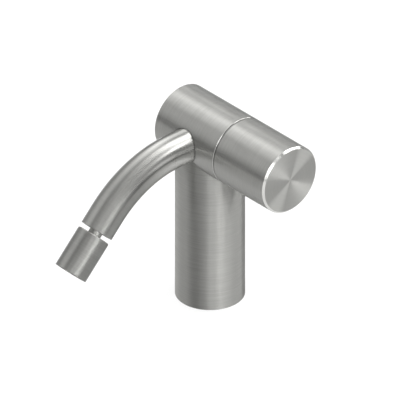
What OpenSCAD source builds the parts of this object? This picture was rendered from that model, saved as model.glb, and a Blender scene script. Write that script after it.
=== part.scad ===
// Single-hole bidet mixer: column, cross head with side knob, bent spout and ball-jointed nozzle.
// Origin: centre of the column's foot on the deck. +Z up, knob towards +X, spout towards -Y.

/* [Column] */
// Outside diameter of the column
column_d = 40; // [38:0.5:46]
// Wall of the column above its foot
column_wall = 3.5; // [2.5:0.1:4]
// Thickness of the solid web at the foot
base_web = 18; // [16:0.5:26]
// Section of the deck seal
deck_seal_cs = 1.8; // [1.4:0.1:2]
// Metal left outside the deck seal
deck_seal_edge = 1.2; // [0.8:0.1:1.4]

/* [Head] */
// How much larger the head is across than the column
head_over = 1.2; // [0.6:0.1:4]
// Height of the head's axis above the deck
head_axis_z = 105.5; // [85:0.5:140]
// Reach of the head behind the column axis
head_back = 24.2; // [22:0.1:30]
// Reach of the fixed head in front of the column axis
head_front = 25.1; // [24.6:0.1:32]
// Wall of the head
head_wall = 2.5; // [1.5:0.1:3]
// Small bevel at the head's ends
head_bevel = 0.2; // [0.1:0.1:0.8]
// Thickness of the head's end cap
end_cap_t = 3; // [2:0.1:4]
// Width of the shoulder that stops the valve block
block_shoulder = 5.2; // [3:0.1:6]

/* [Knob] */
// Gap between the head and the knob
knob_gap = 0.5; // [0.3:0.1:1.5]
// Length of the knob
knob_len = 42.5; // [38:0.5:60]
// Wall of the knob
knob_wall = 2.5; // [1.5:0.1:3]
// Thickness of the knob's end
knob_end_t = 3; // [2:0.1:6]
// Chamfer round the knob's end
knob_chamfer = 1.1; // [0.3:0.1:2]
// Turn of the knob from closed to fully hot, in degrees
knob_travel = 95; // [60:1:120]
// Thickness of the ring that the knob turns on
guide_t = 1.2; // [0.8:0.1:1.4]
// Length of the ring that the knob turns on
guide_len = 5.5; // [4:0.1:7]
// Diameter of the knob's grub screw
grub_d = 5; // [3:0.5:6]

/* [Spout] */
// Outside diameter of the spout
spout_d = 20; // [18:0.5:22]
// Wall of the spout
spout_wall = 1.5; // [1:0.1:2]
// Straight run of the spout, from the column axis to the bend
spout_root = 28.5; // [26:0.5:45]
// Radius of the bend, at the tube's centre
bend_r = 70.7; // [50:0.1:110]
// Angle of the bend, in degrees
bend_angle = 45; // [30:1:60]
// Straight run after the bend
spout_tail = 11.8; // [10:0.1:25]

/* [Nozzle] */
// Gap between the spout's end and the nozzle
nozzle_gap = 2.8; // [2.6:0.1:6]
// Outside diameter of the nozzle
nozzle_d = 20; // [19.5:0.1:26]
// Length of the nozzle
nozzle_len = 25.4; // [22:0.1:34]
// Wall of the nozzle
nozzle_wall = 1.5; // [1:0.1:1.7]
// Thickness of the nozzle's top
nozzle_top_t = 1.9; // [1.5:0.1:3]
// Rounding of the nozzle's top edge
nozzle_round = 0.8; // [0.2:0.1:1.2]
// Diameter of the ball stud's neck
neck_d = 8; // [6.5:0.1:8.4]
// Tilt of the nozzle to each side, in degrees
nozzle_tilt = 12; // [6:1:13]
// Depth of the aerator inside the outlet
outlet_recess = 1.1; // [0.5:0.1:3]

/* [Cartridge] */
// Outside diameter of the cartridge
cartridge_d = 25; // [24:0.5:27]
// Distance of the cartridge's seat behind the column axis
cartridge_seat = 4; // [3:0.1:5]
// Diameter of the cartridge's spindle
spindle_d = 9; // [8:0.1:10]
// Thickness of the fixed ceramic disc
fixed_disc_t = 3; // [2:0.1:3.5]
// Thickness of the moving ceramic disc
moving_disc_t = 3.5; // [3:0.1:4]

/* [Inlets and fixing] */
// Distance between the cold and the hot inlet
inlet_pitch = 13; // [12:0.1:14]
// Distance of the inlets behind the cartridge's seat
inlet_behind_seat = 5.4; // [5.1:0.1:5.8]
// Core diameter of the hose thread M10x1
hose_core_d = 9; // [8:0.1:9.4]
// Depth of the hose thread
hose_depth = 9; // [8:0.5:10]
// Core diameter of the fixing stud's thread M8
stud_core_d = 6.8; // [5:0.1:8.5]
// Depth of the fixing stud's thread
stud_depth = 14; // [10:0.5:15]
// Distance of the fixing stud in front of the column axis
stud_offset = 8.5; // [7:0.5:11]
// Outside diameter of the riser tubes
riser_d = 8; // [7:0.1:8.4]
// Wall of the riser tubes
riser_wall = 1; // [0.6:0.1:1.4]

/* [Hidden] */
$fn = 96;

// Colours
steel = [0.66, 0.66, 0.64];
dark_steel = [0.42, 0.42, 0.41];
brass = [0.78, 0.66, 0.36];
rubber = [0.1, 0.1, 0.1];
white_plastic = [0.88, 0.88, 0.86];
grey_plastic = [0.55, 0.56, 0.58];
ceramic = [0.95, 0.93, 0.88];

// Clearances: a fit between fixed pieces, a running fit, and a ball in its seat
fit_gap = 0.1;
run_gap = 0.05;
ball_gap = 0.15;
// Overshoot of a cutting body past the face that it cuts
cut = 1;

// Column and head radii
column_r = column_d / 2;
column_bore_r = column_r - column_wall;
head_r = column_r + head_over / 2;
head_bore_r = head_r - head_wall;
cap_r = head_r - 0.75 * head_wall;
deck_seal_r = column_r - deck_seal_edge - deck_seal_cs / 2;

// Inlets: thread, passage and riser seat, from the foot up
riser_r = riser_d / 2;
riser_bore_r = riser_r - riser_wall;
riser_seat_depth = 6;
base_ring_drop = 3;
riser_seat_z = base_web - riser_seat_depth;
passage_r = 2.5;
ring_cs = 1;
ring_r = riser_r + ring_cs / 2;
inlet_y = inlet_pitch / 2;
inlet_setback = cartridge_seat + inlet_behind_seat;
// Top of the riser seats in the block, and their rings, measured down from the head's axis
riser_top_drop = 9;
block_ring_drop = 11;
base_ring_z = base_web - base_ring_drop;

// Valve block, along the head's axis from the column axis
block_r = head_bore_r - fit_gap;
block_back = -(head_back - end_cap_t - block_shoulder);
seat_x = -cartridge_seat;
base_t = 3.8;
outer_slot_w = 5;
outer_slot_t = 2;
inlet_seal_w = 1.5;
inlet_seal_t = 0.85;
disc_x = seat_x + base_t;
moving_x = disc_x + fixed_disc_t + run_gap;
carrier_x = moving_x + moving_disc_t + run_gap;
carrier_t = 4;
washer_x = carrier_x + carrier_t + run_gap;
washer_t = 0.4;
washer_bore_gap = 0.5;
housing_wall_x = washer_x + washer_t;
housing_front_t = 1.2;
nut_x = housing_wall_x + housing_front_t;
nut_len = 7.5;
nut_proud = 0.5;
nut_notch_w = 3;
nut_notch_t = 2;
block_front = nut_x + nut_len - nut_proud;
stop_gap = 0.2;
stop_x = nut_x + nut_len + stop_gap;
stop_t = 2.6;
neck_end_x = stop_x + stop_t + stop_gap;

// Cartridge radii
cart_r = cartridge_d / 2;
pocket_r = cart_r + fit_gap;
annulus_w = 1.5;
annulus_r = cart_r + annulus_w;
annulus_lead = 1.4;
annulus_start = seat_x + annulus_lead;
annulus_len = 10;
housing_wall = 2.55;
disc_gap = 0.15;
disc_r = cart_r - housing_wall - disc_gap;
turning_gap = 0.2;
turning_disc_r = disc_r - turning_gap;
neck_step = 3;
cart_neck_r = cart_r - neck_step;
nut_step = 1.9;
nut_r = cart_r + nut_step;
spindle_r = spindle_d / 2;
seal_groove = 1.2;
seal_len = 1.6;
seal_x = housing_wall_x - seal_len;
spindle_seal_in = 3;
spindle_seal_x = nut_x + spindle_seal_in;
disc_port_r = 2.2;
disc_pocket_t = 1.6;
disc_pocket_edge = 0.8;
disc_pocket_in = 2;
disc_pocket_out = inlet_y + 1.8;
disc_pocket_from = 95;
disc_pocket_sweep = 60;
drive_pin_r = 1.2;
drive_pin_len = 1;
drive_pin_x = 5;
tang_step = 1.5;
tang_w = spindle_d - 2 * tang_step;
tang_seat = 1;
tang_gap = 0.2;

// Knob, along the head's axis
knob_x = head_front + knob_gap;
knob_bore_r = head_r - knob_wall;
guide_r = min(knob_bore_r, head_bore_r) - run_gap;
spigot_r = guide_r - guide_t - fit_gap;
lock_r = head_bore_r - fit_gap;
lock_bore_gap = 0.6;
lock_bore_r = nut_r + lock_bore_gap;
lock_sink = 0.5;
lock_front = head_front - lock_sink;
spigot_past = 0.7;
spigot_len = knob_gap + guide_len + spigot_past;
guide_gap = 0.3;
guide_x = lock_front + guide_gap;
hub_sink = 0.9;
hub_x = head_front - hub_sink;
hub_step = 0.7;
hub_barrel_r = cart_r + hub_step;
hub_len = 26;
hub_flange_len = 14;
hub_pocket_r = 2.4;
hub_pocket_len = 8;
hub_pocket_wall = 0.8;
hub_mouth_gap = 0.3;
hub_end_wall = 2;
spline_grow = 0.1;
hub_end = hub_x + hub_len;
hub_flange_x = hub_end - hub_flange_len;
grub_x = hub_flange_x + hub_flange_len / 2;
grub_r = grub_d / 2;
grub_sink = 0.9;
grub_socket_len = 3;
grub_tip_gap = 0.12;
spline_depth = 0.4;
spline_inset = 0.1;
spline_teeth = 16;
spline_lead = 4;
spline_x = hub_x + spline_lead;
spline_end_gap = 3;

// Stop lug on the hub and its notch in the stop ring
lug_half = 8;
lug_slack = 1.5;
lug_depth = 1.7;
lug_in = cart_r - lug_depth;
lug_rise = 0.4;
lug_out = cart_r + lug_rise;
lug_start = 180 - knob_travel / 2;
lug_gap = 0.4;
lug_x = stop_x + lug_gap;
lug_root = 0.5;
stop_step = 1;
stop_r = cart_r + stop_step;
stop_core_gap = 0.3;
stop_core_r = lug_in - stop_core_gap;

// Spout
spout_r = spout_d / 2;
spout_bore_r = spout_r - spout_wall;
gasket_t = 1;
gasket_edge = 1.2;
gasket_depth = 3;
gasket_y = block_r - gasket_depth;
spout_in = gasket_y + gasket_t;
port_r = 6;
port_depth = 8;
port_in = block_r - port_depth;
bush_len = 8;
bush_sink = 0.2;
bush_groove_z = 2;

// Nozzle, from the spout's end outward; the ball's centre is the pivot
nozzle_r = nozzle_d / 2;
nozzle_bore_r = nozzle_r - nozzle_wall;
seat_r = nozzle_bore_r - fit_gap;
seat_wall = 0.5;
seat_ball_r = seat_r - seat_wall;
liner_t = 0.6;
liner_r = seat_ball_r - ball_gap;
ball_r = liner_r - liner_t - ball_gap;
ball_flat = 0.7;
liner_half = 2.4;
seat_h = 4.4;
pivot_depth = nozzle_top_t + seat_h + fit_gap;
pivot_z = nozzle_gap + pivot_depth;
neck_r = neck_d / 2;
waterway_r = 2.5;
full_tilt = 1.42 * nozzle_tilt;
neck_room = 0.35;
hole_top_r = neck_r / cos(full_tilt) + pivot_depth * tan(full_tilt) + neck_room;
hole_low_r = neck_r / cos(full_tilt) + seat_h * tan(full_tilt) + neck_room;
seat_split = 0.15;
lower_seat_h = 4;
spring_cs = 1.6;
seat_nut_z = lower_seat_h + spring_cs + run_gap;
seat_nut_t = 2.5;
seat_nut_bore_r = 5;
seat_nut_slot = 2;
seat_nut_slot_t = 1;
outlet_z = nozzle_len - pivot_depth;
aerator_gasket_z = seat_nut_z + seat_nut_t + fit_gap;
aerator_z = aerator_gasket_z + gasket_t;
aerator_end = outlet_z - outlet_recess;
aerator_wall = 1.6;
aerator_plate_t = 1.8;
aerator_bore_r = seat_r - aerator_wall;
mesh_t = 0.7;
mesh_pitch = 1.7;
mesh_hole = 1.15;
mesh_n = 8;
mesh_edge = 1.1;
aerator_gasket_w = 2;
mesh_sink = 0.3;
regulator_r = 4.5;
regulator_t = 1.6;
jet_r = 0.6;
jet_ring_r = 3;

// Puts its children on the head's axis with +Z of the children along +X
module along_head(x) { translate([x, 0, head_axis_z]) rotate([0, 90, 0]) children(); }
// Puts its children on the spout's root with +Z of the children along -Y
module along_root(y) { translate([0, -y, head_axis_z]) rotate([90, 0, 0]) children(); }
// Puts its children at the centre of the bend: its plane is their XY plane, and it starts on their +X
module at_bend() { translate([0, -spout_root, head_axis_z - bend_r]) rotate([0, -90, 180]) children(); }
// Puts its children on the straight run after the bend with +Z of the children out of the spout
module after_bend(len) {
    at_bend() rotate([0, 0, bend_angle]) translate([bend_r, len, 0]) rotate([-90, 0, 0]) children();
}
module at_spout_end() { after_bend(spout_tail) children(); }
// Puts its children at the ball's centre
module at_pivot() { at_spout_end() translate([0, 0, pivot_z]) children(); }
// A seal ring: mean radius, section, height of its middle
module o_ring(mean_r, cs) { rotate_extrude() translate([mean_r, 0]) circle(d = cs, $fn = 32); }
// A plain ring from z = 0 up
module ring(outer_r, inner_r, len) {
    difference() {
        cylinder(r = outer_r, h = len);
        translate([0, 0, -cut]) cylinder(r = inner_r, h = len + 2 * cut);
    }
}
// A slice of a ring, from one angle to another
module ring_slice(inner_r, outer_r, len, from, sweep) {
    rotate([0, 0, from]) rotate_extrude(angle = sweep)
        translate([inner_r, 0]) square([outer_r - inner_r, len]);
}
// The places of the cold and the hot inlet
module at_inlets() {
    for (side = [-1, 1]) translate([-inlet_setback, side * inlet_y, 0]) children();
}
// The spout's path as a solid rod of the given radius
module spout_rod(r, past) {
    at_bend() {
        rotate_extrude(angle = bend_angle) translate([bend_r, 0]) circle(r = r);
        translate([bend_r, 0, 0]) rotate([90, 0, 0]) cylinder(r = r, h = spout_root - spout_in + past);
    }
    after_bend(0) cylinder(r = r, h = spout_tail + past);
}
// The toothed end of the spindle, which also cuts the hub
module spline(len, grow) {
    step = 360 / spline_teeth;
    tip = spindle_r - spline_inset + grow;
    root = tip - spline_depth;
    linear_extrude(len) polygon([
        for (i = [0:spline_teeth - 1]) each [
            [tip * cos(i * step - step / 8), tip * sin(i * step - step / 8)],
            [tip * cos(i * step + step / 8), tip * sin(i * step + step / 8)],
            [root * cos(i * step + step * 3 / 8), root * sin(i * step + step * 3 / 8)],
            [root * cos(i * step + step * 5 / 8), root * sin(i * step + step * 5 / 8)]
        ]
    ]);
}

// Turned column: solid foot with the threads, bored out above, coped to the head
module column_body() {
    color(steel) difference() {
        cylinder(r = column_r, h = head_axis_z);
        translate([0, 0, base_web]) cylinder(r = column_bore_r, h = head_axis_z);
        along_head(-2 * head_r) cylinder(r = head_r, h = 4 * head_r);
        along_root(0) cylinder(r = spout_r + run_gap, h = 2 * column_r);
        at_inlets() {
            translate([0, 0, -cut]) cylinder(d = hose_core_d, h = hose_depth + cut);
            cylinder(r = passage_r, h = base_web);
            translate([0, 0, riser_seat_z]) cylinder(r = riser_r + run_gap, h = base_web);
            translate([0, 0, base_ring_z - ring_cs / 2]) cylinder(r = riser_r + ring_cs, h = ring_cs);
        }
        translate([stud_offset, 0, -cut]) cylinder(d = stud_core_d, h = stud_depth + cut);
        translate([0, 0, -cut])
            ring(deck_seal_r + deck_seal_cs / 2 + fit_gap, deck_seal_r - deck_seal_cs / 2 - fit_gap,
                deck_seal_cs + fit_gap + cut);
    }
}

// Seal in the groove under the foot
module deck_seal() {
    color(rubber) translate([0, 0, deck_seal_cs / 2]) o_ring(deck_seal_r, deck_seal_cs);
}

// Tube from the foot to the valve block
module riser(side) {
    translate([-inlet_setback, side * inlet_y, riser_seat_z])
        ring(riser_r, riser_bore_r, head_axis_z - riser_top_drop - riser_seat_z);
}
module cold_riser() { color(steel) riser(-1); }
module hot_riser() { color(steel) riser(1); }

// Four seals, two on each riser
module riser_o_rings() {
    color(rubber) at_inlets()
        for (z = [base_ring_z, head_axis_z - block_ring_drop])
            translate([0, 0, z]) o_ring(ring_r, ring_cs - 2 * run_gap);
}

// Cross tube with a bevelled front and back edge, open to the column and the spout
module head_shell() {
    color(steel) difference() {
        along_head(-head_back) {
            cylinder(r1 = head_r - head_bevel, r2 = head_r, h = head_bevel);
            translate([0, 0, head_bevel])
                cylinder(r = head_r, h = head_back + head_front - 2 * head_bevel);
            translate([0, 0, head_back + head_front - head_bevel])
                cylinder(r1 = head_r, r2 = head_r - head_bevel, h = head_bevel);
        }
        along_head(block_back) cylinder(r = head_bore_r, h = head_front - block_back + cut);
        along_head(-head_back - cut) cylinder(r = cap_r, h = end_cap_t + cut);
        along_head(-head_back) cylinder(r = column_bore_r, h = head_back + head_front);
        translate([0, 0, head_axis_z - 2 * head_r]) cylinder(r = column_bore_r, h = 2 * head_r);
        along_root(0) cylinder(r = spout_r + run_gap, h = 2 * head_r);
    }
}

// Flush disc that closes the back of the head
module head_end_cap() {
    color(steel) along_head(-head_back) cylinder(r = cap_r - run_gap, h = end_cap_t);
}

// Brass block inside the head: cartridge pocket, two inlet passages and the outlet to the spout
module valve_block() {
    color(brass) difference() {
        along_head(block_back) cylinder(r = block_r, h = block_front - block_back);
        along_head(seat_x) cylinder(r = pocket_r, h = block_front - seat_x + cut);
        along_head(annulus_start) cylinder(r = annulus_r, h = annulus_len);
        along_head(nut_x) cylinder(r = nut_r + run_gap, h = nut_len + cut);
        along_root(port_in) cylinder(r = port_r, h = block_r);
        along_root(gasket_y) cylinder(r = spout_r + run_gap, h = block_r);
        for (side = [-1, 1]) {
            translate([-inlet_setback, side * inlet_y, head_axis_z]) {
                translate([0, 0, -riser_top_drop - cut])
                    cylinder(r = passage_r, h = riser_top_drop + cut + passage_r);
                translate([0, 0, -2 * head_r])
                    cylinder(r = riser_r + run_gap, h = 2 * head_r - riser_top_drop);
                translate([0, 0, -block_ring_drop - ring_cs / 2])
                    cylinder(r = riser_r + ring_cs, h = ring_cs);
                rotate([0, 90, 0]) cylinder(r = passage_r, h = inlet_setback + seat_x + cut);
            }
        }
    }
}

// Threaded ring that holds the block and carries the knob's guide ring
module block_lock_ring() {
    color(brass) along_head(block_front) difference() {
        union() {
            cylinder(r = lock_r, h = lock_front - block_front);
            cylinder(r = spigot_r, h = lock_front - block_front + spigot_len);
        }
        translate([0, 0, -cut]) cylinder(r = lock_bore_r, h = head_front + spigot_len + 2 * cut);
    }
}

// Plastic ring on which the knob turns
module knob_guide_ring() {
    color(grey_plastic) along_head(guide_x) ring(guide_r, spigot_r + fit_gap, guide_len + knob_gap);
}

// Foot of the cartridge: two inlets, and a cross slot that lets mixed water out at the sides
module cartridge_base() {
    color(grey_plastic) along_head(seat_x) difference() {
        cylinder(r = cart_r - turning_gap, h = base_t);
        for (side = [-1, 1]) translate([0, side * inlet_y, -cut]) {
            cylinder(r = disc_port_r, h = base_t + 2 * cut);
            cylinder(r = disc_port_r + inlet_seal_w + fit_gap, h = inlet_seal_t + run_gap + cut);
        }
        translate([-cart_r - cut, -outer_slot_w / 2, base_t - outer_slot_t])
            cube([2 * (cart_r + cut), outer_slot_w, outer_slot_t + cut]);
    }
}

// Two flat seals between the block and the cartridge
module inlet_seals() {
    color(rubber) along_head(seat_x)
        for (side = [-1, 1]) translate([0, side * inlet_y, 0])
            ring(disc_port_r + inlet_seal_w, disc_port_r, inlet_seal_t);
}

// Ceramic disc that stays still: two inlets and the middle outlet
module fixed_disc() {
    color(ceramic) along_head(disc_x) difference() {
        cylinder(r = disc_r, h = fixed_disc_t);
        for (side = [-1, 0, 1]) translate([0, side * inlet_y, -cut])
            cylinder(r = disc_port_r, h = fixed_disc_t + 2 * cut);
    }
}

// Ceramic disc that turns with the knob, with a pocket that joins an inlet to the outlet
module moving_disc() {
    color(ceramic) along_head(moving_x) difference() {
        cylinder(r = turning_disc_r, h = moving_disc_t);
        translate([0, 0, -cut]) {
            cylinder(r = disc_port_r + disc_pocket_edge, h = disc_pocket_t + cut);
            ring_slice(disc_pocket_in, disc_pocket_out, disc_pocket_t + cut, disc_pocket_from,
                disc_pocket_sweep);
        }
        for (a = [0, 180]) rotate([0, 0, a])
            translate([drive_pin_x, 0, moving_disc_t - drive_pin_len - turning_gap])
                cylinder(r = drive_pin_r + fit_gap, h = drive_pin_len + turning_gap + cut);
    }
}

// Plastic driver between the spindle and the moving disc
module disc_carrier() {
    socket_w = tang_w + 2 * run_gap;
    color(white_plastic) along_head(carrier_x) {
        difference() {
            cylinder(r = turning_disc_r, h = carrier_t);
            translate([-socket_w / 2, -socket_w / 2, tang_seat]) cube([socket_w, socket_w, carrier_t]);
        }
        for (a = [0, 180]) rotate([0, 0, a]) translate([drive_pin_x, 0, -run_gap - drive_pin_len])
            cylinder(r = drive_pin_r, h = drive_pin_len + run_gap);
    }
}

// Cartridge housing: a cup over the discs with a neck for the spindle
module cartridge_housing() {
    color(white_plastic) difference() {
        union() {
            along_head(disc_x) cylinder(r = cart_r, h = nut_x - disc_x);
            along_head(nut_x) cylinder(r = cart_neck_r, h = neck_end_x - nut_x);
        }
        along_head(disc_x - cut) cylinder(r = cart_r - housing_wall, h = housing_wall_x - disc_x + cut);
        along_head(0) cylinder(r = spindle_r + run_gap, h = neck_end_x + cut);
        along_head(seal_x - seal_len / 2) ring(cart_r + cut, cart_r - seal_groove, seal_len);
    }
}

// Seal round the cartridge
module cartridge_o_ring() {
    cs = seal_groove + fit_gap - run_gap;
    color(rubber) along_head(seal_x) o_ring(cart_r - seal_groove + cs / 2, cs);
}

// Slip washer behind the driver
module thrust_washer() {
    color(grey_plastic) along_head(washer_x) ring(turning_disc_r, spindle_r + washer_bore_gap, washer_t);
}

// Nut that holds the cartridge, with four spanner notches
module cartridge_nut() {
    color(brass) along_head(nut_x) difference() {
        ring(nut_r, cart_neck_r + fit_gap, nut_len);
        for (a = [0:90:270]) rotate([0, 0, a])
            translate([cart_neck_r + nut_notch_w / 2, -nut_notch_w / 2, nut_len - nut_notch_t])
                cube([nut_r, nut_notch_w, nut_notch_t + cut]);
    }
}

// Ring with the notch that stops the knob at each end of its turn
module stop_ring() {
    color(grey_plastic) along_head(stop_x) difference() {
        ring(stop_r, cart_neck_r + run_gap, stop_t);
        translate([0, 0, -cut]) ring_slice(stop_core_r, stop_r + cut, stop_t + 2 * cut,
            lug_start - lug_half - lug_slack, knob_travel + 2 * (lug_half + lug_slack));
    }
}

// Bent tube of the spout
module spout_tube() {
    color(steel) difference() {
        spout_rod(spout_r, 0);
        spout_rod(spout_bore_r, cut);
    }
}

// Flat seal between the block and the spout's root
module spout_root_gasket() {
    color(rubber) along_root(gasket_y) ring(spout_bore_r + gasket_edge, port_r + turning_gap, gasket_t);
}

// Threaded bush in the spout's end that holds the ball stud
module spout_end_bush() {
    color(steel) at_spout_end() translate([0, 0, -bush_len]) difference() {
        cylinder(r = spout_bore_r - run_gap, h = bush_len - bush_sink);
        translate([0, 0, -cut]) cylinder(r = neck_r + run_gap, h = bush_len + 2 * cut);
        translate([0, 0, bush_groove_z])
            ring(spout_bore_r + cut, spout_bore_r - ring_cs, ring_cs + 2 * fit_gap);
    }
}

// Seal round the bush
module bush_o_ring() {
    color(rubber) at_spout_end() translate([0, 0, -bush_len + bush_groove_z + fit_gap + ring_cs / 2])
        o_ring(spout_bore_r - ring_cs / 2 - run_gap, ring_cs - 2 * run_gap);
}

// Hollow stud with a ball at its end
module ball_stud() {
    color(dark_steel) at_pivot() difference() {
        union() {
            translate([0, 0, -pivot_z - bush_len]) cylinder(r = neck_r, h = pivot_z + bush_len);
            sphere(r = ball_r);
        }
        translate([0, 0, -pivot_z - bush_len - cut])
            cylinder(r = waterway_r, h = pivot_z + bush_len + 2 * ball_r);
        translate([0, 0, ball_r - ball_flat]) cylinder(r = ball_r, h = ball_r);
    }
}

// Knob: a cup with a chamfered end and a screw hole in its underside
module knob_shell() {
    color(steel) difference() {
        along_head(knob_x) {
            cylinder(r = head_r, h = knob_len - knob_chamfer);
            translate([0, 0, knob_len - knob_chamfer])
                cylinder(r1 = head_r, r2 = head_r - knob_chamfer, h = knob_chamfer);
        }
        along_head(knob_x - cut) cylinder(r = knob_bore_r, h = knob_len - knob_end_t + cut);
        translate([grub_x, 0, head_axis_z - 2 * head_r]) cylinder(r = grub_r + run_gap, h = 2 * head_r);
    }
}

// Plastic hub inside the knob, with the spline, the stop lug and six lightening pockets
module knob_hub() {
    color(white_plastic) along_head(hub_x) {
        difference() {
            union() {
                cylinder(r = hub_barrel_r, h = hub_len);
                translate([0, 0, hub_flange_x - hub_x])
                    cylinder(r = knob_bore_r - run_gap, h = hub_flange_len);
            }
            translate([0, 0, -cut]) cylinder(r = spindle_r + hub_mouth_gap, h = spline_lead + cut);
            translate([0, 0, -cut]) spline(hub_len - hub_end_wall, spline_grow);
            for (a = [30:60:330]) rotate([0, 0, a])
                translate([hub_barrel_r - hub_pocket_r - hub_pocket_wall, 0, hub_len - hub_pocket_len])
                    cylinder(r = hub_pocket_r, h = hub_pocket_len + cut);
            translate([0, 0, grub_x - hub_x]) rotate([0, 90, 0]) cylinder(r = grub_r + run_gap, h = head_r);
        }
        translate([0, 0, lug_x - hub_x])
            ring_slice(lug_in, lug_out, hub_x - lug_x + lug_root, lug_start - lug_half, 2 * lug_half);
    }
}

// Grub screw with a hexagon socket, from the underside of the knob to the spindle
module knob_grub_screw() {
    tip = spindle_r + grub_tip_gap;
    len = head_r - grub_sink - tip;
    socket_r = 0.58 * grub_r;
    color(dark_steel) translate([grub_x, 0, head_axis_z - tip]) rotate([180, 0, 0]) difference() {
        cylinder(r = grub_r, h = len);
        translate([0, 0, len - grub_socket_len]) cylinder(r = socket_r, h = grub_socket_len + cut, $fn = 6);
    }
}

// Spindle: square tang, plain shaft with a seal groove, toothed end
module spindle() {
    color(brass) along_head(0) difference() {
        union() {
            translate([-tang_w / 2, -tang_w / 2, carrier_x + tang_seat + tang_gap])
                cube([tang_w, tang_w, carrier_t]);
            translate([0, 0, washer_x])
                cylinder(r = spindle_r, h = spline_x - washer_x);
            translate([0, 0, spline_x]) spline(hub_end - spline_end_gap - spline_x, 0);
        }
        translate([0, 0, spindle_seal_x - seal_len / 2])
            ring(spindle_r + cut, spindle_r - seal_groove, seal_len);
    }
}

// Seal round the spindle
module spindle_o_ring() {
    color(rubber) along_head(spindle_seal_x) o_ring(spindle_r - seal_groove / 2, seal_groove);
}

// Spherical band round the ball, free to rock in one plane
module ball_liner() {
    color(grey_plastic) at_pivot() intersection() {
        difference() {
            sphere(r = liner_r);
            sphere(r = ball_r + ball_gap);
        }
        translate([0, 0, -liner_half]) cylinder(r = 2 * liner_r, h = 2 * liner_half);
    }
}

// Seat above the ball
module upper_seat_ring() {
    color(white_plastic) at_pivot() difference() {
        translate([0, 0, -seat_h]) cylinder(r = seat_r, h = seat_h - seat_split);
        sphere(r = seat_ball_r);
    }
}

// Seat below the ball
module lower_seat_ring() {
    color(white_plastic) at_pivot() difference() {
        translate([0, 0, seat_split]) cylinder(r = seat_r, h = lower_seat_h - seat_split);
        sphere(r = seat_ball_r);
    }
}

// Rubber ring that presses the seats together
module seat_spring_ring() {
    color(rubber) at_pivot() translate([0, 0, lower_seat_h + spring_cs / 2])
        o_ring(seat_r - spring_cs / 2, spring_cs);
}

// Nozzle: a tube with a rounded top edge and a conical hole for the neck
module nozzle_housing() {
    color(steel) at_pivot() difference() {
        rotate_extrude() translate([0, -pivot_depth]) {
            difference() {
                square([nozzle_r, nozzle_len]);
                translate([nozzle_r - nozzle_round, 0]) square([nozzle_round + cut, nozzle_round]);
            }
            intersection() {
                translate([nozzle_r - nozzle_round, nozzle_round]) circle(r = nozzle_round, $fn = 48);
                square([nozzle_r, nozzle_round]);
            }
        }
        translate([0, 0, -seat_h - fit_gap]) cylinder(r = nozzle_bore_r, h = nozzle_len);
        translate([0, 0, -pivot_depth]) cylinder(r1 = hole_top_r, r2 = hole_low_r, h = nozzle_top_t);
    }
}

// Slotted ring nut that holds the seats
module seat_nut() {
    color(brass) at_pivot() translate([0, 0, seat_nut_z]) difference() {
        ring(nozzle_bore_r - run_gap, seat_nut_bore_r, seat_nut_t);
        translate([-nozzle_bore_r - cut, -seat_nut_slot / 2, seat_nut_t - seat_nut_slot_t])
            cube([2 * (nozzle_bore_r + cut), seat_nut_slot, seat_nut_slot_t + cut]);
    }
}

// Flat seal on top of the aerator
module aerator_gasket() {
    color(rubber) at_pivot() translate([0, 0, aerator_gasket_z])
        ring(seat_r, seat_r - aerator_gasket_w, gasket_t);
}

// Ring of eight jet holes through a plate of the given thickness
module jets(t) {
    for (a = [0:45:315]) rotate([0, 0, a]) translate([jet_ring_r, 0, -cut])
        cylinder(r = jet_r, h = t + 2 * cut);
}

// Perforated disc that limits the flow
module flow_regulator() {
    color(grey_plastic) at_pivot() translate([0, 0, aerator_z - regulator_t]) difference() {
        cylinder(r = regulator_r, h = regulator_t);
        jets(regulator_t);
    }
}

// Aerator cup with a perforated top
module aerator_body() {
    color(white_plastic) at_pivot() translate([0, 0, aerator_z]) difference() {
        cylinder(r = seat_r, h = aerator_end - aerator_z);
        translate([0, 0, aerator_plate_t]) cylinder(r = aerator_bore_r, h = nozzle_len);
        jets(aerator_plate_t);
    }
}

// Square mesh at the outlet
module aerator_mesh() {
    color(dark_steel) at_pivot() translate([0, 0, aerator_end - mesh_sink - mesh_t]) difference() {
        cylinder(r = aerator_bore_r - run_gap, h = mesh_t);
        for (i = [-mesh_n / 2 + 0.5:mesh_n / 2 - 0.5], j = [-mesh_n / 2 + 0.5:mesh_n / 2 - 0.5])
            if (norm([i, j]) * mesh_pitch < aerator_bore_r - mesh_edge)
                translate([i * mesh_pitch, j * mesh_pitch, mesh_t / 2])
                    cube([mesh_hole, mesh_hole, mesh_t + cut], center = true);
    }
}

column_body();
deck_seal();
cold_riser();
hot_riser();
riser_o_rings();
head_shell();
head_end_cap();
valve_block();
block_lock_ring();
knob_guide_ring();
cartridge_base();
inlet_seals();
fixed_disc();
cartridge_housing();
cartridge_o_ring();
thrust_washer();
cartridge_nut();
stop_ring();
spout_tube();
spout_root_gasket();
spout_end_bush();
bush_o_ring();
ball_stud();
knob_shell();
knob_hub();
knob_grub_screw();
spindle();
spindle_o_ring();
disc_carrier();
moving_disc();
ball_liner();
upper_seat_ring();
lower_seat_ring();
seat_spring_ring();
nozzle_housing();
seat_nut();
aerator_gasket();
flow_regulator();
aerator_body();
aerator_mesh();
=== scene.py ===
import math

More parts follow.
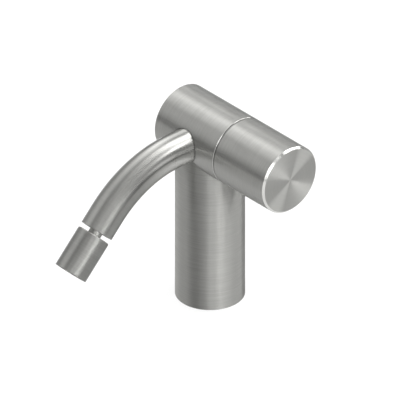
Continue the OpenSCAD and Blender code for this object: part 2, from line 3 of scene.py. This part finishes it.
import bpy
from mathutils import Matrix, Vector

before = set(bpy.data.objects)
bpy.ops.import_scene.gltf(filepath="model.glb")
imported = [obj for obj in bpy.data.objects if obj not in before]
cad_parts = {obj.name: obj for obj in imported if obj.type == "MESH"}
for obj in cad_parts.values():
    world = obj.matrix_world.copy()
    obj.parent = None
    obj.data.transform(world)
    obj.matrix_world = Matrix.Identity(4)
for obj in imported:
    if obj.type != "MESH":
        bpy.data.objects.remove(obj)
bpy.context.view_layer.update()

X_AXIS = (1.0, 0.0, 0.0)
Y_AXIS = (0.0, 1.0, 0.0)
Z_AXIS = (0.0, 0.0, 1.0)

# The view of the photograph: a parallel projection, seen from the front right and above
VIEW_AZIMUTH = 47.97
VIEW_ELEVATION = 31.69
VIEW_WIDTH = 0.2273
VIEW_CENTRE = Vector((-0.02412, 0.01408, 0.0443))
VIEW_DISTANCE = 1.5
CLIP_NEAR = 0.01
CLIP_FAR = 20.0

# Sizes of the part that the materials follow
HEAD_Z = 0.1055
HEAD_RADIUS = 0.0206
KNOB_START_X = 0.0258
SPOUT_RADIUS = 0.010
BEND_RADIUS = 0.0707
BEND_ANGLE = math.radians(45)
BEND_Y = -0.0285
BEND_Z = HEAD_Z - BEND_RADIUS
SPOUT_TAIL = 0.0118
RISER_X = -0.0094
RISER_Y = 0.0065
SPOUT_OUT = (0.0, -math.cos(BEND_ANGLE), -math.sin(BEND_ANGLE))
SPOUT_END = (0.0,
             BEND_Y - BEND_RADIUS * math.sin(BEND_ANGLE) + SPOUT_TAIL * SPOUT_OUT[1],
             BEND_Z + BEND_RADIUS * math.cos(BEND_ANGLE) + SPOUT_TAIL * SPOUT_OUT[2])


def direction(azimuth, elevation):
    """Unit vector towards a place round the object: azimuth 0 is on the -Y side, 90 on the +X side."""
    a = math.radians(azimuth)
    e = math.radians(elevation)
    return Vector((math.sin(a) * math.cos(e), -math.cos(a) * math.cos(e), math.sin(e)))


def make_camera():
    data = bpy.data.cameras.new("camera")
    data.type = "ORTHO"
    data.ortho_scale = VIEW_WIDTH
    data.clip_start = CLIP_NEAR
    data.clip_end = CLIP_FAR
    camera = bpy.data.objects.new("camera", data)
    back = direction(VIEW_AZIMUTH, VIEW_ELEVATION)
    camera.location = VIEW_CENTRE + VIEW_DISTANCE * back
    camera.rotation_euler = (-back).to_track_quat("-Z", "Y").to_euler()
    bpy.context.scene.collection.objects.link(camera)
    bpy.context.scene.camera = camera


# Nearly all of a noise texture lies between these values
NOISE_LOW = 0.3
NOISE_HIGH = 0.7


class Nodes:
    """Short ways to build a node tree. A value is a number, a tuple or another node's socket."""

    def __init__(self, tree):
        self.tree = tree

    def add(self, kind, inputs=None, **settings):
        node = self.tree.nodes.new(kind)
        for name, value in settings.items():
            setattr(node, name, value)
        for name, value in (inputs or {}).items():
            if isinstance(value, bpy.types.NodeSocket):
                self.tree.links.new(value, node.inputs[name])
            else:
                node.inputs[name].default_value = value
        return node

    def math(self, operation, *values):
        return self.add("ShaderNodeMath", dict(enumerate(values)), operation=operation).outputs[0]

    def vector(self, operation, *values):
        node = self.add("ShaderNodeVectorMath", dict(enumerate(values)), operation=operation)
        return node.outputs["Value" if operation in ("DOT_PRODUCT", "LENGTH") else "Vector"]

    def scale(self, vector, factor):
        return self.add("ShaderNodeVectorMath", {0: vector, "Scale": factor}, operation="SCALE").outputs[0]

    def turn(self, kind, vector, start, end):
        """A direction from one frame to another."""
        return self.add("ShaderNodeVectorTransform", {0: vector},
                        vector_type=kind, convert_from=start, convert_to=end).outputs[0]

    def remap(self, value, low, high, to_low=0.0, to_high=1.0):
        """A smooth step from to_low at low to to_high at high."""
        inputs = {"Value": value, "From Min": low, "From Max": high, "To Min": to_low, "To Max": to_high}
        return self.add("ShaderNodeMapRange", inputs, interpolation_type="SMOOTHSTEP").outputs[0]

    def noise(self, place, w=None, detail=3.0):
        inputs = {"Vector": place, "Scale": 1.0, "Detail": detail}
        if w is None:
            return self.add("ShaderNodeTexNoise", inputs).outputs[0]
        return self.add("ShaderNodeTexNoise", {**inputs, "W": w}, noise_dimensions="4D").outputs[0]

    def spread(self, noise, low, high):
        """A noise stretched to run from low to high."""
        return self.remap(noise, NOISE_LOW, NOISE_HIGH, low, high)

    def place(self):
        return self.add("ShaderNodeTexCoord").outputs["Object"]

    def mix(self, share, first, second):
        return self.add("ShaderNodeMix", {0: share, 6: first, 7: second}, data_type="RGBA").outputs[2]


def new_material(name):
    material = bpy.data.materials.new(name)
    material.use_nodes = True
    material.node_tree.nodes.clear()
    return material, Nodes(material.node_tree)


# Forms: each gives the axis that the tool turned about, the way out from that axis,
# and the distance along the profile, which is level along each groove.

def straight(centre, axis):
    def form(n):
        place = n.vector("SUBTRACT", n.place(), centre)
        along = n.vector("DOT_PRODUCT", place, axis)
        radial = n.vector("SUBTRACT", place, n.scale(axis, along))
        return axis, radial, n.math("ADD", along, n.vector("LENGTH", radial))
    return form


def bent(n):
    """The spout: a straight root, a bend and a straight tail. Its distance is nought where the bend starts."""
    split = n.add("ShaderNodeSeparateXYZ", {0: n.place()})
    y = n.math("SUBTRACT", split.outputs["Y"], BEND_Y)
    z = n.math("SUBTRACT", split.outputs["Z"], BEND_Z)
    raw = n.math("ARCTAN2", n.math("MULTIPLY", y, -1.0), z)
    turn = n.math("MINIMUM", n.math("MAXIMUM", raw, 0.0), BEND_ANGLE)
    sine = n.math("SINE", turn)
    cosine = n.math("COSINE", turn)
    axis = n.add("ShaderNodeCombineXYZ", {
        "Y": n.math("MULTIPLY", cosine, -1.0),
        "Z": n.math("MULTIPLY", sine, -1.0),
    }).outputs[0]
    centre = n.add("ShaderNodeCombineXYZ", {
        "Y": n.math("MULTIPLY_ADD", sine, -BEND_RADIUS, BEND_Y),
        "Z": n.math("MULTIPLY_ADD", cosine, BEND_RADIUS, BEND_Z),
    }).outputs[0]
    place = n.vector("SUBTRACT", n.place(), centre)
    along = n.vector("DOT_PRODUCT", place, axis)
    radial = n.vector("SUBTRACT", place, n.scale(axis, along))
    return axis, radial, n.math("MULTIPLY_ADD", turn, BEND_RADIUS, along)


COLUMN = straight((0.0, 0.0, 0.0), Z_AXIS)
HEAD = straight((0.0, 0.0, HEAD_Z), X_AXIS)
NOZZLE = straight(SPOUT_END, SPOUT_OUT)
COLD_RISER = straight((RISER_X, -RISER_Y, 0.0), Z_AXIS)
HOT_RISER = straight((RISER_X, RISER_Y, 0.0), Z_AXIS)


# Contacts: each gives the distance from a line where two pieces meet. A narrow shadow lies there,
# down to CONTACT_SHADE of the brightness, and is gone at CONTACT_FAR.
CONTACT_NEAR = 0.0002
CONTACT_FAR = 0.0008
CONTACT_SHADE = 0.6
# The spout leaves the head at its front, and its shadow fades over this distance before the head's middle
FRONT_FADE = 0.005


def near_head(n):
    """Nought where the spout meets the head, growing away from it."""
    place = n.vector("SUBTRACT", n.place(), (0.0, 0.0, HEAD_Z))
    away = n.vector("LENGTH", n.vector("MULTIPLY", place, (0.0, 1.0, 1.0)))
    return n.math("SUBTRACT", away, HEAD_RADIUS)


def near_seam(n):
    """Nought where the knob starts, growing along the knob."""
    return n.vector("DOT_PRODUCT", n.vector("SUBTRACT", n.place(), (KNOB_START_X, 0.0, 0.0)), X_AXIS)


def near_spout(n):
    """Nought round the spout's hole in the head, growing away from it."""
    place = n.vector("SUBTRACT", n.place(), (0.0, 0.0, HEAD_Z))
    away = n.vector("LENGTH", n.vector("MULTIPLY", place, (1.0, 0.0, 1.0)))
    behind = n.remap(n.vector("DOT_PRODUCT", place, Y_AXIS), -FRONT_FADE, 0.0)
    return n.math("ADD", n.math("SUBTRACT", away, SPOUT_RADIUS), behind)


# The spout's bands of painted shade: their place, counted up from the right side,
# and their brightness at the root, in the middle and at the tail
SHADE_BANDS = [(math.radians(24), 0.36, 0.36, 0.75), (math.radians(42), 1.0, 0.6, 0.85)]
# The half width of a band, and of its core, which is darkest
BAND_RIM = math.radians(14)
BAND_CORE = math.radians(4)
# The spout's gain in brightness at its root, a painted highlight, and the distances where root and middle end and
# the tail starts
ROOT_HIGHLIGHT_GAIN = 1.2
ROOT_END = 0.02
MIDDLE_END = 0.03
TAIL_START = 0.055


def spout_highlight_and_shade(n, axis, out, ring):
    """Painted highlight on the spout's root, and painted shade along two bands on its right side."""
    up = n.vector("CROSS_PRODUCT", axis, X_AXIS)
    shade = n.remap(ring, 0.0, MIDDLE_END, ROOT_HIGHLIGHT_GAIN, 1.0)
    for turn, at_root, at_middle, at_tail in SHADE_BANDS:
        level = n.remap(ring, 0.0, ROOT_END, at_root, at_middle)
        level = n.remap(ring, MIDDLE_END, TAIL_START, level, at_tail)
        middle = n.vector("ADD", n.scale(up, math.sin(turn)), (math.cos(turn), 0.0, 0.0))
        close = n.vector("DOT_PRODUCT", out, middle)
        band = n.remap(close, math.cos(BAND_RIM), math.cos(BAND_CORE), 1.0, level)
        shade = n.math("MULTIPLY", shade, band)
    return shade


# The flat ends of knob and cap get a painted highlight in two opposite sectors, and their rim painted shade in
# one.
# Each sector has its middle, as a direction across the head's axis, and the cosines where it starts and is full.
FAN = (0.0, math.cos(math.radians(50)), math.sin(math.radians(50)))
FAN_START = 0.9
FAN_FULL = 1.0
FAN_HIGHLIGHT_GAIN = 0.42
SHADED_RIM = (0.0, math.cos(math.radians(25)), math.sin(math.radians(25)))
SHADED_RIM_START = 0.8
SHADED_RIM_FULL = 0.93
# The share of the worn edges' brighter colour that the rim keeps in its painted shade
SHADED_RIM_KEEPS = 0.15

# How much the flat facets of a mesh may lean away from the round form that they stand for
FACET = 0.1


def turned_normal(n, axis, out):
    """How far a face looks along the axis, and its normal, made exactly round where it was turned."""
    face = n.turn("NORMAL", n.add("ShaderNodeNewGeometry").outputs["True Normal"], "WORLD", "OBJECT")
    along = n.vector("DOT_PRODUCT", face, axis)
    slope = n.math("ABSOLUTE", along)
    along = n.math("MULTIPLY", along, n.math("GREATER_THAN", slope, FACET))
    across = n.vector("DOT_PRODUCT", face, n.vector("CROSS_PRODUCT", axis, out))
    turned = n.math("LESS_THAN", n.math("ABSOLUTE", across), 2 * FACET)
    exact = n.vector("ADD", n.scale(axis, along), n.scale(out, n.vector("DOT_PRODUCT", face, out)))
    own = n.add("ShaderNodeTexCoord").outputs["Normal"]
    return slope, n.turn("NORMAL", n.mix(turned, own, n.vector("NORMALIZE", exact)), "OBJECT", "WORLD")


# Noise cells per metre: of the hair lines, along and across the grooves, and of the clouds
HAIR_LINES = (45.0, 1500.0)
FINE_LINES = (160.0, 6000.0)
FINE_DETAIL = 2.0
FINE_SHARE = 0.3
CLOUDS = 70.0
CLOUD_SHADE = 0.025
# A face's slope is 0 on a side and 1 on a flat end. A bevel comes in between the first two slopes, and goes
# between the next two, up to the second of them. Below the last two, a face no longer counts as a flat end.
BEVEL_FROM_SIDE = (0.25, 0.5)
BEVEL_FROM_END = (0.97, 0.85)
SIDE_FROM_END = (0.995, 0.97)
# The shares of the hair lines and of the relief that a flat end keeps
END_HAIR = 0.25
END_RELIEF = 0.3
GRAIN_DEPTH = 0.00003
GRAIN_ROUGHNESS = 0.12
CLOUD_ROUGHNESS = 0.02
# The share of its roughness that a worn edge keeps
WORN_ROUGHNESS = 0.55
POLISH_END = 0.04
# A quarter turn, so that the highlight runs across the grooves
ANISOTROPIC_ROTATION = 0.25


def hair_grain(n, radial, ring):
    """Hair lines along the grooves, with finer ones between them."""
    lines = n.noise(n.scale(radial, HAIR_LINES[0]), n.math("MULTIPLY", ring, HAIR_LINES[1]))
    fine = n.noise(n.scale(radial, FINE_LINES[0]), n.math("MULTIPLY", ring, FINE_LINES[1]), FINE_DETAIL)
    return n.math("ADD", n.math("MULTIPLY", lines, 1.0 - FINE_SHARE), n.math("MULTIPLY", fine, FINE_SHARE))


def brushed_metal(name, form, color, edge_color, roughness, anisotropy,
                  hair=0.05, relief=0.25, contact=None, root_roughness=None, painted_bands=None, painted_fan=False):
    """Metal brushed or turned round an axis: hair lines along the grooves, cloudy sheen, and worn edges, smoother
    and painted brighter as a highlight.

    Its flat ends are turned finer than its sides. A contact puts a shadow where another piece meets it,
    root_roughness polishes the spout's root, the bands paint a highlight on the spout's root and shade along its
    side, and the fan paints a highlight on two sectors of flat ends and shade on one part of their rim."""
    material, n = new_material(name)
    axis, radial, ring = form(n)
    out = n.vector("NORMALIZE", radial)
    groove = n.turn("VECTOR", n.vector("CROSS_PRODUCT", axis, out), "OBJECT", "WORLD")
    grain = hair_grain(n, radial, ring)
    cloud = n.noise(n.scale(n.place(), CLOUDS))
    slope, normal = turned_normal(n, axis, out)
    edge = n.math("MULTIPLY", n.remap(slope, *BEVEL_FROM_SIDE), n.remap(slope, *BEVEL_FROM_END))
    side = n.remap(slope, *SIDE_FROM_END)

    streak = n.math("MULTIPLY", n.spread(grain, -hair, hair), n.remap(side, 0.0, 1.0, END_HAIR, 1.0))
    shade = n.math("ADD", streak, 1.0)
    shade = n.math("MULTIPLY", shade, n.spread(cloud, 1.0 - CLOUD_SHADE, 1.0 + CLOUD_SHADE))
    if contact is not None:
        shadow = n.remap(contact(n), CONTACT_NEAR, CONTACT_FAR, CONTACT_SHADE, 1.0)
        shade = n.math("MULTIPLY", shade, shadow)
    # Painted highlight on the spout's root and painted shade along its bands
    if painted_bands is not None:
        shade = n.math("MULTIPLY", shade, painted_bands(n, axis, out, ring))
    # Painted highlight in two sectors of the flat ends, and painted shade on their rim in one place
    if painted_fan:
        rim_shade_close = n.vector("DOT_PRODUCT", out, SHADED_RIM)
        edge = n.math("MULTIPLY", edge, n.remap(rim_shade_close, SHADED_RIM_START, SHADED_RIM_FULL, 1.0, SHADED_RIM_KEEPS))
        sector = n.remap(n.math("ABSOLUTE", n.vector("DOT_PRODUCT", out, FAN)), FAN_START, FAN_FULL, 0.0, FAN_HIGHLIGHT_GAIN)
        gain = n.math("MULTIPLY", sector, n.math("SUBTRACT", 1.0, side))
        shade = n.math("MULTIPLY", shade, n.math("ADD", gain, 1.0))
    # Worn edges take the brighter edge colour, a painted highlight
    tone = n.mix(edge, (*color, 1.0), (*edge_color, 1.0))

    rough = roughness
    if root_roughness is not None:
        rough = n.remap(ring, 0.0, POLISH_END, root_roughness, roughness)
    rough = n.math("ADD", rough, n.spread(grain, GRAIN_ROUGHNESS * relief, -GRAIN_ROUGHNESS * relief))
    rough = n.math("ADD", rough, n.spread(cloud, -CLOUD_ROUGHNESS, CLOUD_ROUGHNESS))
    rough = n.math("MULTIPLY", rough, n.remap(edge, 0.0, 1.0, 1.0, WORN_ROUGHNESS))

    bump = n.add("ShaderNodeBump", {
        "Strength": n.remap(side, 0.0, 1.0, END_RELIEF * relief, relief),
        "Distance": GRAIN_DEPTH,
        "Height": grain,
        "Normal": normal,
    })
    bsdf = n.add("ShaderNodeBsdfPrincipled", {
        "Base Color": n.scale(tone, shade),
        "Metallic": 1.0,
        "Roughness": rough,
        "Anisotropic": anisotropy,
        "Anisotropic Rotation": ANISOTROPIC_ROTATION,
        "Tangent": groove,
        "Normal": bump.outputs[0],
    })
    n.add("ShaderNodeOutputMaterial", {"Surface": bsdf.outputs[0]})
    return material


# The same for what is moulded or lapped: clouds per metre, and how far they and the texture change it
MOULD_CLOUDS = 90.0
MOULD_SHADE = 0.04
MOULD_ROUGHNESS = 0.05
MOULD_RELIEF = 0.3
MOULD_DEPTH = 0.00005
SUBSURFACE_DEPTH = 0.001


def moulded(name, color, roughness, speckle, texture_scale, coat=0.0, subsurface=0.0):
    """Rubber, plastic or ceramic: a faintly uneven colour, and the texture of its mould or lapping."""
    material, n = new_material(name)
    cloud = n.noise(n.scale(n.place(), MOULD_CLOUDS))
    texture = n.noise(n.scale(n.place(), texture_scale))
    shade = n.math("MULTIPLY",
                   n.spread(cloud, 1.0 - MOULD_SHADE, 1.0 + MOULD_SHADE),
                   n.spread(texture, 1.0 - speckle, 1.0 + speckle))
    bump = n.add("ShaderNodeBump", {"Strength": MOULD_RELIEF, "Distance": MOULD_DEPTH, "Height": texture})
    bsdf = n.add("ShaderNodeBsdfPrincipled", {
        "Base Color": n.scale(color, shade),
        "Roughness": n.spread(texture, roughness - MOULD_ROUGHNESS, roughness + MOULD_ROUGHNESS),
        "Coat Weight": coat,
        "Subsurface Weight": subsurface,
        "Subsurface Scale": SUBSURFACE_DEPTH,
        "Normal": bump.outputs[0],
    })
    n.add("ShaderNodeOutputMaterial", {"Surface": bsdf.outputs[0]})
    return material


# Colours: of the steels as brushed, of worn edges, painted brighter as a highlight (SEAM_STEEL on the head, BRIGHT
# elsewhere), and of the rest
STEEL = (0.300, 0.300, 0.288)
COLUMN_STEEL = (0.325, 0.325, 0.312)
# The spout's steel is painted lighter than the other steels, for the light that it catches
LIT_SPOUT_STEEL = (0.38, 0.38, 0.365)
NOZZLE_STEEL = (0.33, 0.33, 0.317)
SEAM_STEEL = (0.44, 0.44, 0.425)
STUD_STEEL = (0.50, 0.50, 0.48)
BRIGHT = (0.62, 0.62, 0.60)
BRASS = (0.66, 0.47, 0.19)
BRIGHT_BRASS = (0.82, 0.63, 0.30)
BLACK_RUBBER = (0.03, 0.03, 0.03)
WHITE_PLASTIC = (0.78, 0.78, 0.74)
GREY_PLASTIC = (0.16, 0.165, 0.17)
CERAMIC = (0.84, 0.81, 0.74)

# Each material with the nodes that have it
LOOKS = [
    (brushed_metal("column_steel", COLUMN, COLUMN_STEEL, BRIGHT, roughness=0.5, anisotropy=1.0),
     ["column_body"]),
    (brushed_metal("head_steel", HEAD, STEEL, SEAM_STEEL, roughness=0.4, anisotropy=0.9, contact=near_spout),
     ["head_shell"]),
    (brushed_metal("cap_steel", HEAD, STEEL, BRIGHT, roughness=0.4, anisotropy=0.9, painted_fan=True),
     ["head_end_cap"]),
    (brushed_metal("knob_steel", HEAD, STEEL, BRIGHT, roughness=0.4, anisotropy=0.9,
                   contact=near_seam, painted_fan=True),
     ["knob_shell"]),
    (brushed_metal("spout_steel", bent, LIT_SPOUT_STEEL, LIT_SPOUT_STEEL, roughness=0.55, anisotropy=1.0,
                   hair=0.03, relief=0.03, contact=near_head, root_roughness=0.26, painted_bands=spout_highlight_and_shade),
     ["spout_tube"]),
    (brushed_metal("nozzle_steel", NOZZLE, NOZZLE_STEEL, NOZZLE_STEEL, roughness=0.55, anisotropy=1.0,
                   hair=0.03),
     ["nozzle_housing", "spout_end_bush"]),
    (brushed_metal("stud_steel", NOZZLE, STUD_STEEL, STUD_STEEL, roughness=0.6, anisotropy=0.6),
     ["ball_stud", "aerator_mesh"]),
    (brushed_metal("cold_riser_steel", COLD_RISER, STEEL, BRIGHT, roughness=0.35, anisotropy=0.6),
     ["cold_riser"]),
    (brushed_metal("hot_riser_steel", HOT_RISER, STEEL, BRIGHT, roughness=0.35, anisotropy=0.6),
     ["hot_riser"]),
    (brushed_metal("screw_steel", HEAD, STEEL, BRIGHT, roughness=0.3, anisotropy=0.5),
     ["knob_grub_screw"]),
    (brushed_metal("turned_brass", HEAD, BRASS, BRIGHT_BRASS, roughness=0.3, anisotropy=0.6),
     ["valve_block", "block_lock_ring", "cartridge_nut", "spindle"]),
    (brushed_metal("nut_brass", NOZZLE, BRASS, BRIGHT_BRASS, roughness=0.3, anisotropy=0.6),
     ["seat_nut"]),
    (moulded("rubber", BLACK_RUBBER, roughness=0.65, speckle=0.15, texture_scale=2500.0),
     ["deck_seal", "riser_o_rings", "inlet_seals", "cartridge_o_ring", "spout_root_gasket", "bush_o_ring",
      "spindle_o_ring", "seat_spring_ring", "aerator_gasket"]),
    (moulded("white_plastic", WHITE_PLASTIC, roughness=0.42, speckle=0.03, texture_scale=1500.0,
             subsurface=0.1),
     ["cartridge_housing", "disc_carrier", "knob_hub", "upper_seat_ring", "lower_seat_ring", "aerator_body"]),
    (moulded("grey_plastic", GREY_PLASTIC, roughness=0.45, speckle=0.06, texture_scale=1500.0),
     ["knob_guide_ring", "cartridge_base", "thrust_washer", "stop_ring", "ball_liner", "flow_regulator"]),
    (moulded("ceramic", CERAMIC, roughness=0.22, speckle=0.02, texture_scale=600.0, coat=0.5),
     ["fixed_disc", "moving_disc"]),
]
for material, names in LOOKS:
    for name in names:
        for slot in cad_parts[name].material_slots:
            slot.material = material


WHITE = (1, 1, 1, 1)
FLOOR_COLOR = (0.97, 0.97, 0.97, 1)
FLOOR_HALF = 3.0
# The share of plain white in what the camera and the metal see of the floor
FLOOR_GLOW = 0.75


def sees_backdrop(n):
    """One for the rays that show the white surroundings: the camera's, and those of metal and glass."""
    path = n.add("ShaderNodeLightPath").outputs
    shiny = n.math("MAXIMUM", path["Is Glossy Ray"], path["Is Transmission Ray"])
    return n.math("MAXIMUM", path["Is Camera Ray"], shiny)


def make_floor():
    """A white floor that keeps a faint shadow of the object."""
    s = FLOOR_HALF
    mesh = bpy.data.meshes.new("floor")
    mesh.from_pydata([(-s, -s, 0), (s, -s, 0), (s, s, 0), (-s, s, 0)], [], [(0, 1, 2, 3)])
    floor = bpy.data.objects.new("floor", mesh)
    bpy.context.scene.collection.objects.link(floor)
    material, n = new_material("floor")
    diffuse = n.add("ShaderNodeBsdfDiffuse", {"Color": FLOOR_COLOR})
    glow = n.add("ShaderNodeEmission", {"Color": WHITE, "Strength": 1})
    share = n.math("MULTIPLY", sees_backdrop(n), FLOOR_GLOW)
    mix = n.add("ShaderNodeMixShader", {0: share, 1: diffuse.outputs[0], 2: glow.outputs[0]})
    n.add("ShaderNodeOutputMaterial", {"Surface": mix.outputs[0]})
    mesh.materials.append(material)


# The studio that the metal mirrors is an even grey, with soft lights and dark flags in this order:
# azimuth, elevation and radius in degrees, and strength. A light adds its strength. A flag, whose strength
# is below nought, takes that share away from all that comes before it.
LIGHT_LEVEL = 3.3
SURROUND = 0.30
FLAGS_AND_LIGHTS = [
    (87.4, -21.3, 48.3, 5.5),
    (92.5, 19.0, 26.0, 5.2),
    (153.1, -20.2, 43.7, 0.6),
    (219.0, 13.2, 20.7, 0.5),
    (257.0, 49.0, 30.0, 1.1),
    (53.0, 31.4, 24.4, 3.4),
    (329.3, 20.2, 23.6, 0.6),
    (0.5, 3.2, 77.5, -1.0),
    (168.6, 36.9, 71.9, -1.0),
    (95.3, 39.0, 60.4, -1.0),
    (197.3, 0.7, 29.6, -1.0),
    (247.9, 4.3, 32.3, -1.0),
    (-0.2, 103.3, 54.4, -0.7),
    (124.0, 43.0, 13.0, 2.1),
    (142.0, 47.0, 13.0, 1.9),
    (160.0, 51.0, 13.0, 2.1),
    (178.0, 54.0, 13.0, 1.7),
    (196.0, 55.0, 12.0, 1.5),
    (90.0, 44.0, 16.0, 0.5),
    (150.0, 33.0, 11.0, 2.0),
    (160.0, 22.0, 11.0, 2.3),
    (20.0, 46.0, 15.0, 0.7),
    (262.0, 70.0, 16.0, 0.8),
    (98.0, 1.0, 14.0, -0.6),
    (72.0, 3.0, 12.0, 2.8),
    (180.0, 80.0, 20.0, 1.3),
    (152.0, 66.0, 11.0, 1.2),
    (298.0, 56.0, 16.0, 0.7),
]


def make_world():
    """The studio, in place of which the camera itself sees plain white."""
    world = bpy.data.worlds.new("studio")
    bpy.context.scene.world = world
    world.use_nodes = True
    world.node_tree.nodes.clear()
    n = Nodes(world.node_tree)
    look = n.add("ShaderNodeTexCoord").outputs["Generated"]
    level = SURROUND
    for azimuth, elevation, radius, strength in FLAGS_AND_LIGHTS:
        angle = n.math("ARCCOSINE", n.vector("DOT_PRODUCT", look, tuple(direction(azimuth, elevation))))
        if strength > 0:
            level = n.math("ADD", level, n.remap(angle, math.radians(radius), 0.0, 0.0, strength))
        else:
            level = n.math("MULTIPLY", level, n.remap(angle, math.radians(radius), 0.0, 1.0, 1.0 + strength))
    level = n.math("MULTIPLY", level, LIGHT_LEVEL)
    studio = n.add("ShaderNodeBackground", {"Color": WHITE, "Strength": level})
    backdrop = n.add("ShaderNodeBackground", {"Color": WHITE, "Strength": 1.0})
    camera = n.add("ShaderNodeLightPath").outputs["Is Camera Ray"]
    mix = n.add("ShaderNodeMixShader", {0: camera, 1: studio.outputs[0], 2: backdrop.outputs[0]})
    n.add("ShaderNodeOutputWorld", {"Surface": mix.outputs[0]})


make_camera()
make_floor()
make_world()
bpy.context.scene.view_settings.view_transform = "Standard"
